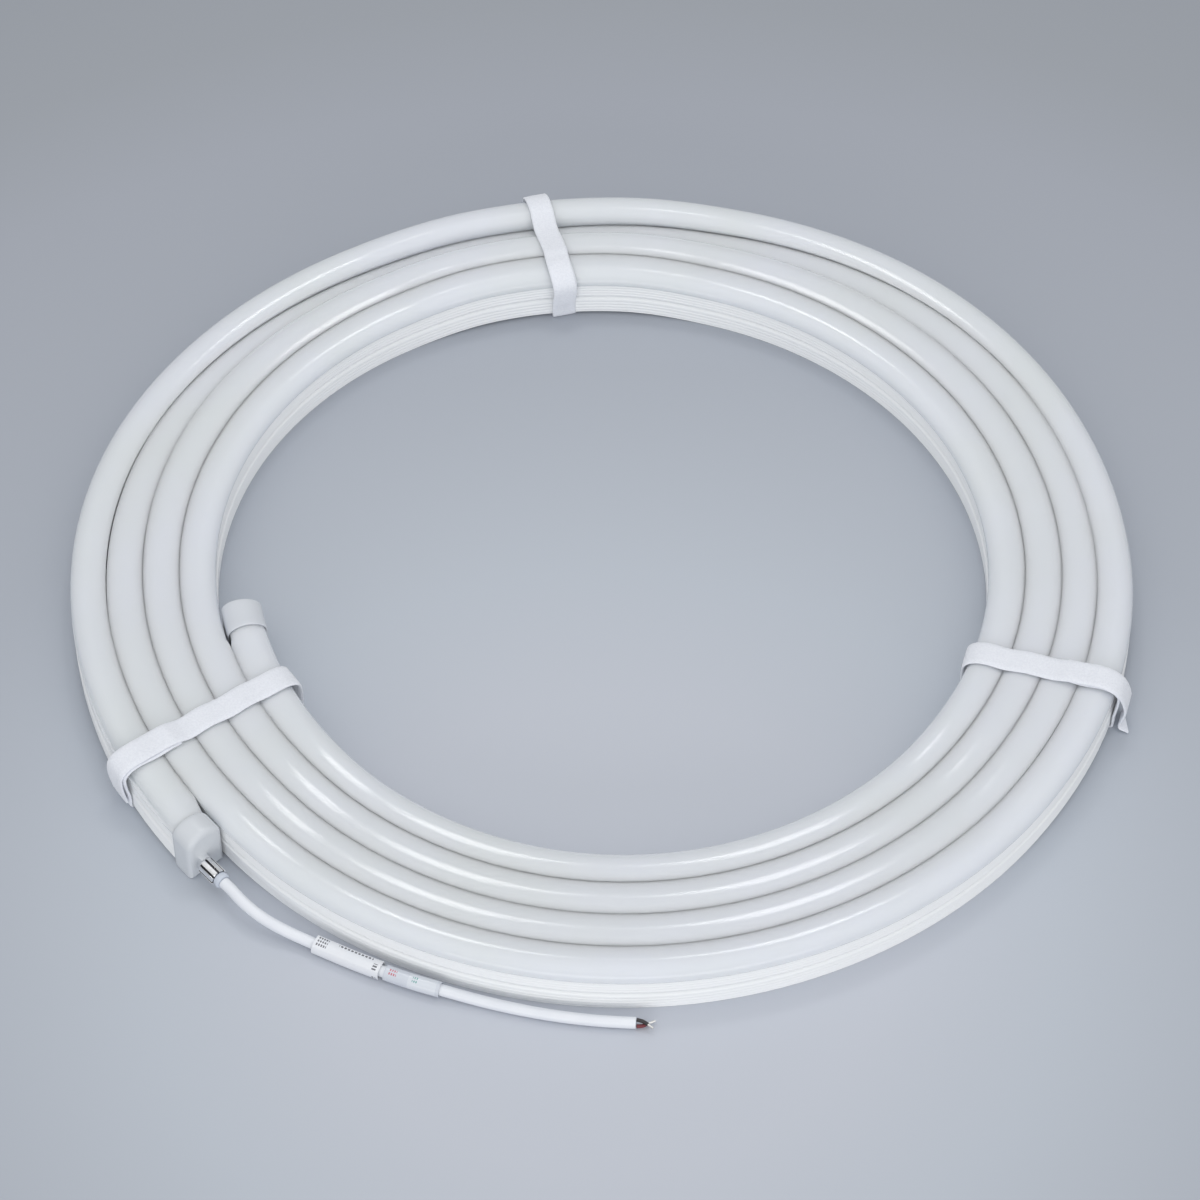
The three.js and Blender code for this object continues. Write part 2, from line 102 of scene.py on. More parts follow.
# Feed outlet, from the feed cap's face outwards
OUTLET_HEIGHT = 9.8
OUTLET_OUTWARD = 3.2
BOSS_RADIUS = 3.7
BOSS_LENGTH = 2.6
BOSS_ROUNDING = 0.8
BOSS_FILLET = 0.5
COLLAR_RADIUS = 4.0
COLLAR_BORE = 2.9
COLLAR_LENGTH = 9.0
COLLAR_BARS = 8
COLLAR_SLOT_DEPTH = 0.7
COLLAR_SLOT_SHARE = 0.26
COLLAR_SLOT_FLARE = 1.15
COLLAR_EDGE_DROP = 0.12
COLLAR_END_BEVEL = 0.25
BUSHING_RADIUS = 3.5
BUSHING_LENGTH = 3.0
BUSHING_LIP = 0.3
BUSHING_ROUNDING = 0.9
BUSHING_SIDES = 48
AXIS_RADIUS = 0.01
SEAT = 0.3

# Feed cable and what is on it
CABLE_RADIUS = 2.5
CABLE_SAMPLES = 12
CABLE_ROUTE = (
    (-155.8, -171.0, 9.3),
    (-149.5, -176.7, 8.1),
    (-141.6, -181.8, 6.5),
    (-131.2, -186.8, 4.6),
    (-120.4, -191.8, 3.6),
    (-109.6, -197.4, 3.6),
    (-97.2, -203.2, 3.6),
    (-85.2, -208.4, 3.6),
    (-72.6, -212.9, 3.5),
    (-56.3, -218.0, 2.7),
    (-39.9, -222.6, 2.6),
    (-23.5, -226.2, 2.6),
    (-7.1, -228.6, 2.6),
    (7.6, -229.8, 2.6),
)
LABEL_SPAN = (-125.0, -97.0)
LABEL_HALF_WIDTH = 3.8
LABEL_HALF_HEIGHT = 3.3
LABEL_WALL = 0.35
LABEL_SQUARENESS = 0.38
SLEEVE_SPAN = (-95.5, -72.5)
SLEEVE_RADIUS = 3.4
SLEEVE_WALL = 0.55
WRAP_SIDES = 48
WRAP_RINGS = 24
WIRE_RADIUS = 0.8
WIRE_SAMPLES = 8
TIP_RADIUS = 0.5
TIP_POINTS = 12
BLACK_WIRE_ROUTE = ((0.3, 1.0, 0.9), (2.9, 0.3, 0.9), (5.0, -0.9, 0.6))
RED_WIRE_ROUTE = ((0.3, -0.9, -1.0), (2.7, -0.5, -1.2), (5.0, 0.6, -1.0))
BLACK_TIP_END = (7.2, -2.3, 0.2)
RED_TIP_END = (7.9, 2.0, -0.8)
TIP_OVERLAP = 0.2

# Print on the label and sleeve: (along, half), (around, half), dashes each way, and colour
DASH_SHARE = 0.6
LABEL_MARKS = (
    ((0.11, 0.08), (0.24, 0.10), (28.0, 14.0), (0.16, 0.16, 0.18)),
    ((0.60, 0.26), (0.165, 0.018), (19.0, 0.0), (0.14, 0.14, 0.16)),
    ((0.925, 0.03), (0.30, 0.06), (0.0, 18.0), (0.15, 0.15, 0.17)),
    ((0.93, 0.04), (0.56, 0.05), (22.0, 0.0), (0.35, 0.35, 0.38)),
)
SLEEVE_MARKS = (
    ((0.69, 0.25), (0.30, 0.24), (0.0, 0.0), (0.70, 0.73, 0.78)),
    ((0.15, 0.07), (0.29, 0.08), (24.0, 13.0), (0.55, 0.16, 0.20)),
    ((0.56, 0.05), (0.28, 0.07), (26.0, 13.0), (0.20, 0.42, 0.40)),
)

# Straps, each with a foot under the coil, a covered end on top and a free tip over it
STRAP_WIDTH = 12.0
STRAP_THICKNESS = 1.2
STRAP_CLEARANCE = 0.3
STRAP_LIFT = 1.5
LIFT_PLATEAU = 10.0
LIFT_EASE = 15.0
STRAP_FOOT_INSET = 1.5
LAYER_GAP = 0.1
CREASE_DIP = 0.35
DIP_SPREAD = 7.0
EDGE_WAVE = 0.25
NAP = 0.05
FACET_ROOM = 2.2
FACET_ANGLE = 7.5
STRAP_SQUARENESS = 0.72
STRAP_SIDES = 32
STRAP_SAMPLES = 9
TOP_STEP = 4
COVERED_CROWN_TURNS = (65, 40, 15)
OTHER_CROWN_TURNS = (5, 30, 60)
COVERED_SIDE = ((-0.8, 13.0), (-1.6, 8.0), (-1.7, 4.0))
FOOT_SHARES = (0.7, 0.35, 0.0, -0.35, -0.7)
FLICK_FROM = 0.47
FLOOR_LIFT = 0.02
STRAPS = (
    {
        "name": "strap_left", "compass": 206.8, "direction": 214.1, "turns": 5, "width": 12.0,
        "overlapped_side": 1, "overlap": 28.0, "dip": 0.0, "drift": -0.9, "waves": 55.0,
        "flick": 0.0, "tip": ((-0.1, 14.0), (-0.7, 9.5), (-1.4, 5.0)),
    },
    {
        "name": "strap_back", "compass": 97.9, "direction": 103.5, "turns": 4, "width": 10.8,
        "overlapped_side": -1, "overlap": 20.0, "dip": 1.4, "drift": 0.5, "waves": 40.0,
        "flick": 0.0, "tip": ((0.0, 18.0), (-0.3, 14.5), (-0.7, 11.5)),
    },
    {
        "name": "strap_right", "compass": 340.4, "direction": 343.6, "turns": 4, "width": 11.8,
        "overlapped_side": 1, "overlap": 24.0, "dip": 0.0, "drift": -0.8, "waves": 47.0,
        "flick": 2.4, "tip": ((1.9, 14.0), (1.5, 9.0), (0.2, 4.5), (0.3, 2.0), (1.8, 0.9)),
    },
)

# Surfaces: the mottle's scale, then the grain's scale, detail and bump strength
SILICONE_GRAIN = (14.0, 900.0, 3.0, 0.12)
PLASTIC_GRAIN = (60.0, 1500.0, 2.0, 0.1)
METAL_GRAIN = (400.0, 2500.0, 2.0, 0.15)
FABRIC_NAP = (1100.0, 6.0, 0.7)
MOTTLE_DETAIL = 4.0
GRAIN_HEIGHT = 0.0001
NAP_HEIGHT = 0.0006
SILICONE_IOR = 1.43

# Camera, fitted to the coil's edges in the 1200 x 1200 picture
CAMERA_LENS = 140.89
CAMERA_SENSOR = 36.0
CAMERA_ELEVATION = 51.405
CAMERA_DISTANCE = 2065.5
CAMERA_TARGET = (-4.98, -5.84)
CAMERA_ROLL = -0.7014
CAMERA_CLIP_END = 50

# Light: two softboxes nearly overhead, which the domes mirror as streaks, and a low fill in front,
# under a sky that is brightest overhead and on the camera's side
SOFTBOX_TOWARDS = (0.11, 0.408, 0.906)
SOFTBOX_LEAN = (0.113, 0.0645, -0.043)
SOFTBOX_DISTANCE = 1.7
SOFTBOX_SIZE = (0.18, 0.34)
SOFTBOX_RADIANCE = 7.0
FILL_TOWARDS = (0.0, -0.974, 0.225)
FILL_DISTANCE = 2.4
FILL_SIZE = (3.2, 0.8)
FILL_RADIANCE = 2.2
SKY_LEVEL = 0.37
SKY_OVERHEAD = 0.88
SKY_FRONT_SHARE = 0.22

# Floor: a painted pool of light, palest in front of the coil's middle and darker with distance, with the tone
# at each distance from there in metres
FLOOR_HALF_SIZE = 12.0
FLOOR_LIGHT_POOL_CENTRE = (0.0, -0.18, 0.0)
FLOOR_PAINTED_LIGHT_DISPLAY_TONES = (
    (0.0, (198, 202, 211)),
    (0.12, (196, 200, 209)),
    (0.19, (189, 195, 204)),
    (0.31, (173, 178, 187)),
    (0.48, (165, 169, 178)),
    (0.55, (158, 162, 169)),
    (1.0, (134, 139, 147)),
)

# Values that follow
PITCH = STRIP_WIDTH + STRIP_GAP
HALF_STRIP = STRIP_WIDTH / 2
CAP_OFFSET = CAP_CLEARANCE + CAP_WALL
FREE_SIDE = (CAP_ZONE, CAP_SHIFT_RUN)
CROWN_HEIGHT = WALL_HEIGHT + DOME_HEIGHT
COLLAR_START = BOSS_LENGTH + SEAT
BUSHING_START = COLLAR_START + COLLAR_LENGTH
CABLE_START = BUSHING_START + BUSHING_LENGTH + SEAT


# Coil geometry

def smoothstep(x, low, high):
    t = min(1.0, max(0.0, (x - low) / (high - low)))
    return t * t * (3 - 2 * t)


def bump(angle, place):
    compass, turn, half_width = place[:3]
    centre = (compass - START_COMPASS) % 360 + 360 * (turn - 1)
    share = abs(angle - centre) / half_width
    return math.cos(share * math.pi / 2) ** 2 if share < 1 else 0.0


def pull(angle, places):
    return sum(place[3] * bump(angle, place) for place in places)


def lane_radius(angle):
    compass = math.radians(START_COMPASS + angle)
    wobble = sum(c * math.cos(n * compass) + s * math.sin(n * compass) for n, c, s in OVALITY)
    return FIRST_TURN_RADIUS + PITCH * angle / 360 + wobble


def end_shift(angle, at_inner, at_outer):
    """How far an edge moves sideways near the caps, over a (zone, run) at each end."""
    inner = INNER_TIP_ANGLE + at_inner[0]
    outer = OUTER_TIP_ANGLE - at_outer[0]
    from_inner = smoothstep(angle, inner, inner + at_inner[1])
    from_outer = smoothstep(angle, outer - at_outer[1], outer)
    return CAP_SIDE_SHIFT * (from_outer - (1 - from_inner))


def lift_at(angle):
    inner = INNER_TIP_ANGLE + CAP_ZONE
    outer = OUTER_TIP_ANGLE - CAP_ZONE
    lifts = [
        CAP_OFFSET * (1 - smoothstep(angle, inner, inner + CAP_LIFT_RUN)),
        CAP_OFFSET * smoothstep(angle, outer - CAP_LIFT_RUN, outer),
    ]
    for strap in STRAPS:
        away = abs((START_COMPASS + angle - strap["compass"] + 180) % 360 - 180)
        lifts.append(STRAP_LIFT * (1 - smoothstep(away, LIFT_PLATEAU, LIFT_PLATEAU + LIFT_EASE)))
    return max(lifts)


def cap_ease(angle, inner_tip, outer_tip):
    """From 0 in the caps to 1 clear of them, at each end."""
    inner, outer = inner_tip + INNER_SNUG[0], outer_tip - OUTER_SNUG[0]
    past_inner = smoothstep(angle, inner, inner + INNER_SNUG[1])
    before_outer = 1 - smoothstep(angle, outer - OUTER_SNUG[1], outer)
    return past_inner, before_outer


def lip_gap(angle):
    """The gap between the turn at an angle and the turn outside it."""
    past_inner, before_outer = cap_ease(angle, INNER_TIP_ANGLE, OUTER_TIP_ANGLE - 360)
    return STRIP_GAP + past_inner * before_outer * (LIP_GAP - STRIP_GAP) + pull(angle, OPEN_GAPS)


def strip_edges(angle):
    lane = lane_radius(angle) - pull(angle, FOURTH_TURN_PULLS)
    inner = lane - PITCH + lip_gap(angle - 360) / 2 + end_shift(angle, FREE_SIDE, OUTER_SNUG)
    outer = lane - lip_gap(angle) / 2 - pull(angle, THIRD_TURN_PULLS)
    outer += end_shift(angle, INNER_SNUG, FREE_SIDE)
    return inner, outer


def ribs(low, high, count, inset):
    """Rounded ribs between two heights, as (inset, height) points."""
    points = []
    step = (high - low) / count
    for i in range(count):
        base = low + i * step
        for depth_share, step_share in ((1.0, 0.0), (0.4, 0.25), (0.0, 0.5), (0.4, 0.75)):
            points.append((inset + RIB_DEPTH * depth_share, base + step_share * step))
    points.append((inset + RIB_DEPTH, high))
    return points


def wall_profile():
    """One side wall from the floor up, as (inset, height) points."""
    points = [(FOOT_ROUNDING, 0.0), (0.3 * FOOT_ROUNDING, 0.3 * FOOT_ROUNDING)]
    points += ribs(FOOT_ROUNDING, LOWER_BODY_HEIGHT - LEDGE_CHAMFER - 0.1, LOWER_RIBS, 0.0)
    points.append((0.0, LOWER_BODY_HEIGHT - LEDGE_CHAMFER))
    points.append((0.6 * LEDGE_CHAMFER, LOWER_BODY_HEIGHT))
    points.append((GROOVE_DEPTH, LOWER_BODY_HEIGHT + 0.15))
    points.append((GROOVE_DEPTH, LOWER_BODY_HEIGHT + GROOVE_HEIGHT - 0.2))
    top = LOWER_BODY_HEIGHT + GROOVE_HEIGHT
    points += ribs(top, UPPER_RIBS_TOP, UPPER_RIBS, UPPER_WALL_INSET)
    points.append((UPPER_WALL_INSET, UPPER_RIBS_TOP + 0.3))
    points.append((UPPER_WALL_INSET, WALL_HEIGHT - LIP_HEIGHT))
    points.append((0.4 * UPPER_WALL_INSET, WALL_HEIGHT - 0.6 * LIP_HEIGHT))
    return points


WALL = wall_profile()


def pressed(angle):
    """How far a dome's inner and outer sides are pressed against a neighbour, from 0 to 1."""
    past_inner, before_outer = cap_ease(angle, INNER_TIP_ANGLE, OUTER_TIP_ANGLE)
    at_caps = past_inner * before_outer
    inner_side = cap_ease(angle, INNER_TIP_ANGLE + 360, OUTER_TIP_ANGLE)[0]
    outer_side = cap_ease(angle, INNER_TIP_ANGLE, OUTER_TIP_ANGLE - 360)[1]
    inner_side *= at_caps * (1 - bump(angle - 360, SAG))
    outer_side *= at_caps * (1 - bump(angle + 360, SAG))
    return inner_side, outer_side


def strip_section(angle):
    """The strip's section as (radius, height) points, up the outer wall, over and down."""
    inner, outer = strip_edges(angle)
    share = (outer - inner) / STRIP_WIDTH
    sunk = bump(angle, SAG)
    wall_top = WALL_HEIGHT - SAG[3] * sunk
    pressed_half = PRESSED_DOME_HALF + SUNK_DOME_FLATNESS * sunk
    lift = lift_at(angle)
    squeeze = wall_top / WALL_HEIGHT
    inner_press, outer_press = pressed(angle)

    def across(x):
        return inner + (x + HALF_STRIP) * share

    def top_at(x):
        place = -HALF_STRIP + (x + HALF_STRIP) * share
        press = outer_press if place > 0 else inner_press
        half = HALF_STRIP + press * (pressed_half - HALF_STRIP)
        return wall_top + DOME_HEIGHT * math.sqrt(max(0.0, 1 - (place / half) ** 2))

    points = [(across(HALF_STRIP - inset), height * squeeze + lift) for inset, height in WALL]
    for i in range(DOME_STEPS + 1):
        x = HALF_STRIP * math.cos(math.pi * i / DOME_STEPS)
        points.append((across(x), top_at(x) + lift))
    for inset, height in reversed(WALL):
        points.append((across(inset - HALF_STRIP), height * squeeze + lift))
    return points


def plain_section(angle, offset):
    """The strip's outline grown by an offset, without its ribs."""
    inner, outer = strip_edges(angle)
    share = (outer - inner) / STRIP_WIDTH
    grow = HALF_STRIP + offset / share
    lift = lift_at(angle)

    def across(x):
        return inner + (x + HALF_STRIP) * share

    points = [(across(-grow), lift - offset), (across(grow), lift - offset)]
    for i in range(DOME_STEPS + 1):
        turn = math.pi * i / DOME_STEPS
        height = WALL_HEIGHT + DOME_HEIGHT * math.sin(turn)
        points.append((across(grow * math.cos(turn)), height + offset * math.sin(turn) + lift))
    return points


def outlet_frame():
    compass = math.radians(START_COMPASS + OUTER_TIP_ANGLE)
    inner, outer = strip_edges(OUTER_TIP_ANGLE)
    side = np.array([math.cos(compass), math.sin(compass), 0.0])
    axis = np.array([-math.sin(compass), math.cos(compass), 0.0])
    radius = (inner + outer) / 2 + OUTLET_OUTWARD
    return side * radius + np.array([0, 0, OUTLET_HEIGHT]), axis, side


OUTLET_POINT, OUTLET_AXIS, OUTLET_SIDE = outlet_frame()
UP = np.array([0.0, 0.0, 1.0])


def outlet_at(distance):
    return OUTLET_POINT + OUTLET_AXIS * distance


def frame_shift():
    """From the coil's own centre to the part's origin, read off the collar's place."""
    low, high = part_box("crimp_collar")
    return np.array((low + high) / 2) / MM - outlet_at(COLLAR_START + COLLAR_LENGTH / 2)


SHIFT = frame_shift()
SHIFT[2] = 0.0


def to_frame(points):
    return (np.asarray(points, float).reshape(-1, 3) + SHIFT) * MM


def ring_points(angle, section):
    compass = math.radians(START_COMPASS + angle)
    return [(r * math.cos(compass), r * math.sin(compass), z) for r, z in section]


# Meshes

def make_object(name, vertices, faces, sharp_angle=40):
    mesh = bpy.data.meshes.new(name)
    mesh.from_pydata([tuple(v) for v in to_frame(vertices)], [], faces)
    mesh.validate()
    turned = bmesh.new()
    turned.from_mesh(mesh)
    if turned.calc_volume(signed=True) < 0:
        bmesh.ops.reverse_faces(turned, faces=turned.faces[:])
    turned.to_mesh(mesh)
    turned.free()
    mesh.shade_smooth()
    mesh.set_sharp_from_angle(angle=math.radians(sharp_angle))
    obj = bpy.data.objects.new(name, mesh)
    bpy.context.scene.collection.objects.link(obj)
    return obj


def skin(rings, closed_ends=True, looped=False):
    """Vertices and faces over rings of equal length."""
    count = len(rings[0])
    vertices = [p for ring in rings for p in ring]
    faces = []
    last = len(rings) if looped else len(rings) - 1
    for i in range(last):
        for j in range(count):
            a = i * count + j
            b = i * count + (j + 1) % count
            c = (i + 1) % len(rings) * count + (j + 1) % count
            d = (i + 1) % len(rings) * count + j
            faces.append((a, b, c, d))
    if closed_ends and not looped:
        faces.append(tuple(reversed(range(count))))
        faces.append(tuple(range((len(rings) - 1) * count, len(rings) * count)))
    return vertices, faces


def place_piece(obj, material, slot, *nodes):
    obj.data.materials.append(material)
    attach(obj, "root")
    if nodes:
        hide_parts(*nodes)
    return obj


# Materials

def new_material(name):
    material = bpy.data.materials.new(name)
    material.use_nodes = True
    nodes = material.node_tree.nodes
    return material, nodes, material.node_tree.links, nodes["Principled BSDF"]


def noise_node(nodes, links, scale, detail=3.0, roughness=0.5):
    coords = nodes.new("ShaderNodeTexCoord")
    texture = nodes.new("ShaderNodeTexNoise")
    texture.inputs["Scale"].default_value = scale
    texture.inputs["Detail"].default_value = detail
    texture.inputs["Roughness"].default_value = roughness
    links.new(coords.outputs["Object"], texture.inputs["Vector"])
    return texture


def math_node(nodes, links, operation, *values):
    """A math node's result for values that are numbers or sockets."""
    node = nodes.new("ShaderNodeMath")
    node.operation = operation
    for socket, value in zip(node.inputs, values):
        if isinstance(value, float):
            socket.default_value = value
        else:
            links.new(value, socket)
    return node.outputs[0]


def print_marks(material, marks):
    """Plain printed patches on a wrap, by their place along and around it."""
    nodes, links = material.node_tree.nodes, material.node_tree.links
    base = nodes["Principled BSDF"].inputs["Base Color"]
    coords = nodes.new("ShaderNodeTexCoord")
    split = nodes.new("ShaderNodeSeparateXYZ")
    links.new(coords.outputs["UV"], split.inputs["Vector"])
    for (along, half_length), (around, half_width), dashes, colour in marks:
        mask = math_node(nodes, links, "COMPARE", split.outputs["X"], along, half_length)
        wide = math_node(nodes, links, "COMPARE", split.outputs["Y"], around, half_width)
        mask = math_node(nodes, links, "MULTIPLY", mask, wide)
        for socket, count in zip((split.outputs["X"], split.outputs["Y"]), dashes):
            if count:
                steps = math_node(nodes, links, "MULTIPLY", socket, count)
                step = math_node(nodes, links, "FRACT", steps)
                dash = math_node(nodes, links, "LESS_THAN", step, DASH_SHARE)
                mask = math_node(nodes, links, "MULTIPLY", mask, dash)
        mix = nodes.new("ShaderNodeMixRGB")
        links.new(mask, mix.inputs["Fac"])
        links.new(base.links[0].from_socket, mix.inputs["Color1"])
        mix.inputs["Color2"].default_value = (*colour, 1.0)
        links.new(mix.outputs["Color"], base)


def ramp_node(nodes, links, source, stops):
    ramp = nodes.new("ShaderNodeValToRGB")
    elements = ramp.color_ramp.elements
    while len(elements) < len(stops):
        elements.new(0.5)
    for element, (position, colour) in zip(elements, stops):
        element.position = position
        element.color = (*colour, 1.0)
    links.new(source, ramp.inputs["Fac"])
    return ramp


def bump_node(nodes, links, source, strength, distance, shader):
    node = nodes.new("ShaderNodeBump")
    node.inputs["Strength"].default_value = strength
    node.inputs["Distance"].default_value = distance
    links.new(source, node.inputs["Height"])
    links.new(node.outputs["Normal"], shader.inputs["Normal"])


def linear(red, green, blue):
    """Scene-linear colour from 0 to 255 display values."""
    def convert(value):
        share = value / 255
        return share / 12.92 if share <= 0.04045 else ((share + 0.055) / 1.055) ** 2.4
    return convert(red), convert(green), convert(blue)


def mottled_material(name, low, high, roughness, grain):
    """A surface mottled between two colours, with a fine grain, and its shader."""
    mottle_scale, grain_scale, grain_detail, grain_strength = grain
    material, nodes, links, shader = new_material(name)
    mottle = noise_node(nodes, links, mottle_scale, MOTTLE_DETAIL)
    ramp = ramp_node(nodes, links, mottle.outputs["Fac"], [(0.35, low), (0.65, high)])
    links.new(ramp.outputs["Color"], shader.inputs["Base Color"])
    shader.inputs["Roughness"].default_value = roughness
    fine = noise_node(nodes, links, grain_scale, grain_detail)
    bump_node(nodes, links, fine.outputs["Fac"], grain_strength, GRAIN_HEIGHT, shader)
    return material, shader


def silicone_material(name, low, high, roughness, scatter):
    material, shader = mottled_material(name, low, high, roughness, SILICONE_GRAIN)
    shader.inputs["IOR"].default_value = SILICONE_IOR
    if scatter:
        shader.inputs["Subsurface Weight"].default_value = 1.0
        shader.inputs["Subsurface Radius"].default_value = (1.0, 1.0, 1.0)
        shader.inputs["Subsurface Scale"].default_value = scatter
    return material


def plastic_material(name, low, high, roughness):
    return mottled_material(name, low, high, roughness, PLASTIC_GRAIN)[0]


def metal_material(name, low, high, roughness):
    material, shader = mottled_material(name, low, high, roughness, METAL_GRAIN)
    shader.inputs["Metallic"].default_value = 1.0
    return material


def fabric_material(name, low, high):
    material, nodes, links, shader = new_material(name)
    nap = noise_node(nodes, links, *FABRIC_NAP)
    ramp = ramp_node(nodes, links, nap.outputs["Fac"], [(0.3, low), (0.6, high)])
    links.new(ramp.outputs["Color"], shader.inputs["Base Color"])
    shader.inputs["Roughness"].default_value = 0.95
    shader.inputs["Sheen Weight"].default_value = 0.5
    shader.inputs["Sheen Roughness"].default_value = 0.5
    bump_node(nodes, links, nap.outputs["Fac"], 0.6, NAP_HEIGHT, shader)
    return material


FLOOR_PAINTED_LIGHT_TONES = [(distance, linear(*tone)) for distance, tone in FLOOR_PAINTED_LIGHT_DISPLAY_TONES]


# Camera

def make_camera():
    tilt = math.radians(CAMERA_ELEVATION)
    roll = math.radians(CAMERA_ROLL)
    forward = Vector((0, math.cos(tilt), -math.sin(tilt)))
    right = Vector((1, 0, 0))
    up = right.cross(forward)
    turned_right = math.cos(roll) * right + math.sin(roll) * up
    turned_up = -math.sin(roll) * right + math.cos(roll) * up
    target = Vector((CAMERA_TARGET[0] + SHIFT[0], CAMERA_TARGET[1] + SHIFT[1], 0.0)) * MM
    data = bpy.data.cameras.new("camera")
    data.lens = CAMERA_LENS
    data.sensor_width = CAMERA_SENSOR
    data.clip_end = CAMERA_CLIP_END
    camera = bpy.data.objects.new("camera", data)
    bpy.context.scene.collection.objects.link(camera)
    turn = Matrix((turned_right, turned_up, -forward)).transposed()
    camera.matrix_world = Matrix.LocRotScale(target - forward * CAMERA_DISTANCE * MM, turn, None)
    bpy.context.scene.camera = camera


# Feed cable

def catmull_rom(points, samples):
    """A centripetal curve through the points, with its ends continued straight."""
    points = [np.array(p, float) for p in points]
    points = [2 * points[0] - points[1], *points, 2 * points[-1] - points[-2]]
    out = []
    for k in range(1, len(points) - 2):
        p = points[k - 1:k + 3]
        knots = [0.0]
        for a, b in zip(p, p[1:]):
            knots.append(knots[-1] + max(1e-6, np.linalg.norm(b - a)) ** 0.5)
        for t in np.linspace(knots[1], knots[2], samples, endpoint=False):
            level = p
            for order in range(1, 4):
                level = [
                    ((knots[i + order] - t) * level[i] + (t - knots[i]) * level[i + 1])
                    / (knots[i + order] - knots[i])
                    for i in range(4 - order)
                ]
            out.append(level[0])
    out.append(points[-2])
    return np.array(out)


CABLE_EXIT = [outlet_at(CABLE_START), outlet_at(CABLE_START + 2 * CABLE_RADIUS)]
CABLE_LINE = catmull_rom([*CABLE_EXIT, *CABLE_ROUTE], CABLE_SAMPLES)


def make_curve(name, line, radius):
    data = bpy.data.curves.new(name, "CURVE")
    data.dimensions = "3D"
    data.bevel_depth = radius * MM
    data.bevel_resolution = 8
    data.use_fill_caps = True
    spline = data.splines.new("POLY")
    spline.points.add(len(line) - 1)
    for point, place in zip(spline.points, to_frame(line)):
        point.co = (*place, 1.0)
    spline.use_smooth = True
    obj = bpy.data.objects.new(name, data)
    bpy.context.scene.collection.objects.link(obj)
    return obj


def path_frames(line):
    """Points, level side directions and upward directions along a line."""
    tangents = np.gradient(line, axis=0)
    tangents /= np.linalg.norm(tangents, axis=1)[:, None]
    sides = np.cross(UP, tangents)
    sides /= np.linalg.norm(sides, axis=1)[:, None]
    return line, sides, np.cross(tangents, sides)


def cable_stretch(span, count):
    """The stretch of the cable between two x positions, as evenly spaced points."""
    inside = CABLE_LINE[(CABLE_LINE[:, 0] >= span[0]) & (CABLE_LINE[:, 0] <= span[1])]
    along = np.concatenate([[0], np.cumsum(np.linalg.norm(np.diff(inside, axis=0), axis=1))])
    at = np.linspace(0, along[-1], count)
    return np.stack([np.interp(at, along, inside[:, k]) for k in range(3)], axis=1)


def wrap_mesh(name, span, outline, wall):
    """A thin tube round the cable with an open bore, and its UVs along and around."""
    rings = WRAP_RINGS
    centre, sides, ups = path_frames(cable_stretch(span, rings))
    count = len(outline)
    shares = [1 - wall / math.hypot(s, u) for s, u in outline]
    inner = [(s * share, u * share) for (s, u), share in zip(outline, shares)]
    loops = []
    for c, s, u in zip(centre, sides, ups):
        loops.append([c + a * s + b * u for a, b in outline])
    for c, s, u in reversed(list(zip(centre, sides, ups))):
        loops.append([c + a * s + b * u for a, b in inner])
    vertices, faces = skin(loops, looped=True)
    obj = make_object(name, vertices, faces, 50)
    layer = obj.data.uv_layers.new(name="wrap")
    for polygon in obj.data.polygons:
        closes = polygon.index % count == count - 1
        for loop_index, vertex in zip(polygon.loop_indices, polygon.vertices):
            step, spot = divmod(vertex, count)
            along = step if step < rings else 2 * rings - 1 - step
            around = count if closes and spot == 0 else spot
            layer.data[loop_index].uv = (along / (rings - 1), around / count)
    return obj


def rounded_outline(half_width, half_height, squareness, count):
    points = []
    for i in range(count):
        turn = 2 * math.pi * i / count
        side, up = math.cos(turn), math.sin(turn)
        reach = 1 / max(abs(side), abs(up)) ** squareness
        points.append((half_width * reach * side, half_height * reach * up))
    return points


def wire_line(route):
    end = CABLE_LINE[-1]
    along = CABLE_LINE[-1] - CABLE_LINE[-3]
    along[2] = 0
    along /= np.linalg.norm(along)
    across = np.array([-along[1], along[0], 0.0])
    return [end + a * along + s * across + u * UP for a, s, u in route]


def make_cable(materials):
    jacket = make_curve("feed_cable", CABLE_LINE, CABLE_RADIUS)
    place_piece(jacket, materials["jacket"], "jacket_white", "cable_jacket")
    outline = rounded_outline(LABEL_HALF_WIDTH, LABEL_HALF_HEIGHT, LABEL_SQUARENESS, WRAP_SIDES)
    label = wrap_mesh("label_wrap", LABEL_SPAN, outline, LABEL_WALL)
    place_piece(label, materials["label"], "label_white", "cable_label")
    print_marks(materials["label"], LABEL_MARKS)
    outline = rounded_outline(SLEEVE_RADIUS, SLEEVE_RADIUS, 0.0, WRAP_SIDES)
    sleeve = wrap_mesh("clear_sleeve", SLEEVE_SPAN, outline, SLEEVE_WALL)
    place_piece(sleeve, materials["sleeve"], "sleeve_clear", "marker_sleeve")
    print_marks(materials["sleeve"], SLEEVE_MARKS)
    pieces = [label, sleeve]
    for name, node, route, tip_end, material, slot in (
        ("black_wire", "wire_black", BLACK_WIRE_ROUTE, BLACK_TIP_END, "black", "insulation_black"),
        ("red_wire", "wire_red", RED_WIRE_ROUTE, RED_TIP_END, "red", "insulation_red"),
    ):
        line = catmull_rom(wire_line(route), WIRE_SAMPLES)
        wire = make_curve(name, line, WIRE_RADIUS)
        place_piece(wire, materials[material], slot, node)
        start = line[-1] - TIP_OVERLAP * (line[-1] - line[-2])
        tip_line = np.linspace(start, wire_line([tip_end])[0], TIP_POINTS)
        tip = make_curve(name + "_tip", tip_line, TIP_RADIUS)
        place_piece(tip, materials["tinned"], "tinned_wire", node + "_tip")
        pieces += [wire, tip]


# Strip and caps

def angle_for(length, angle):
    return math.degrees(length / lane_radius(angle))


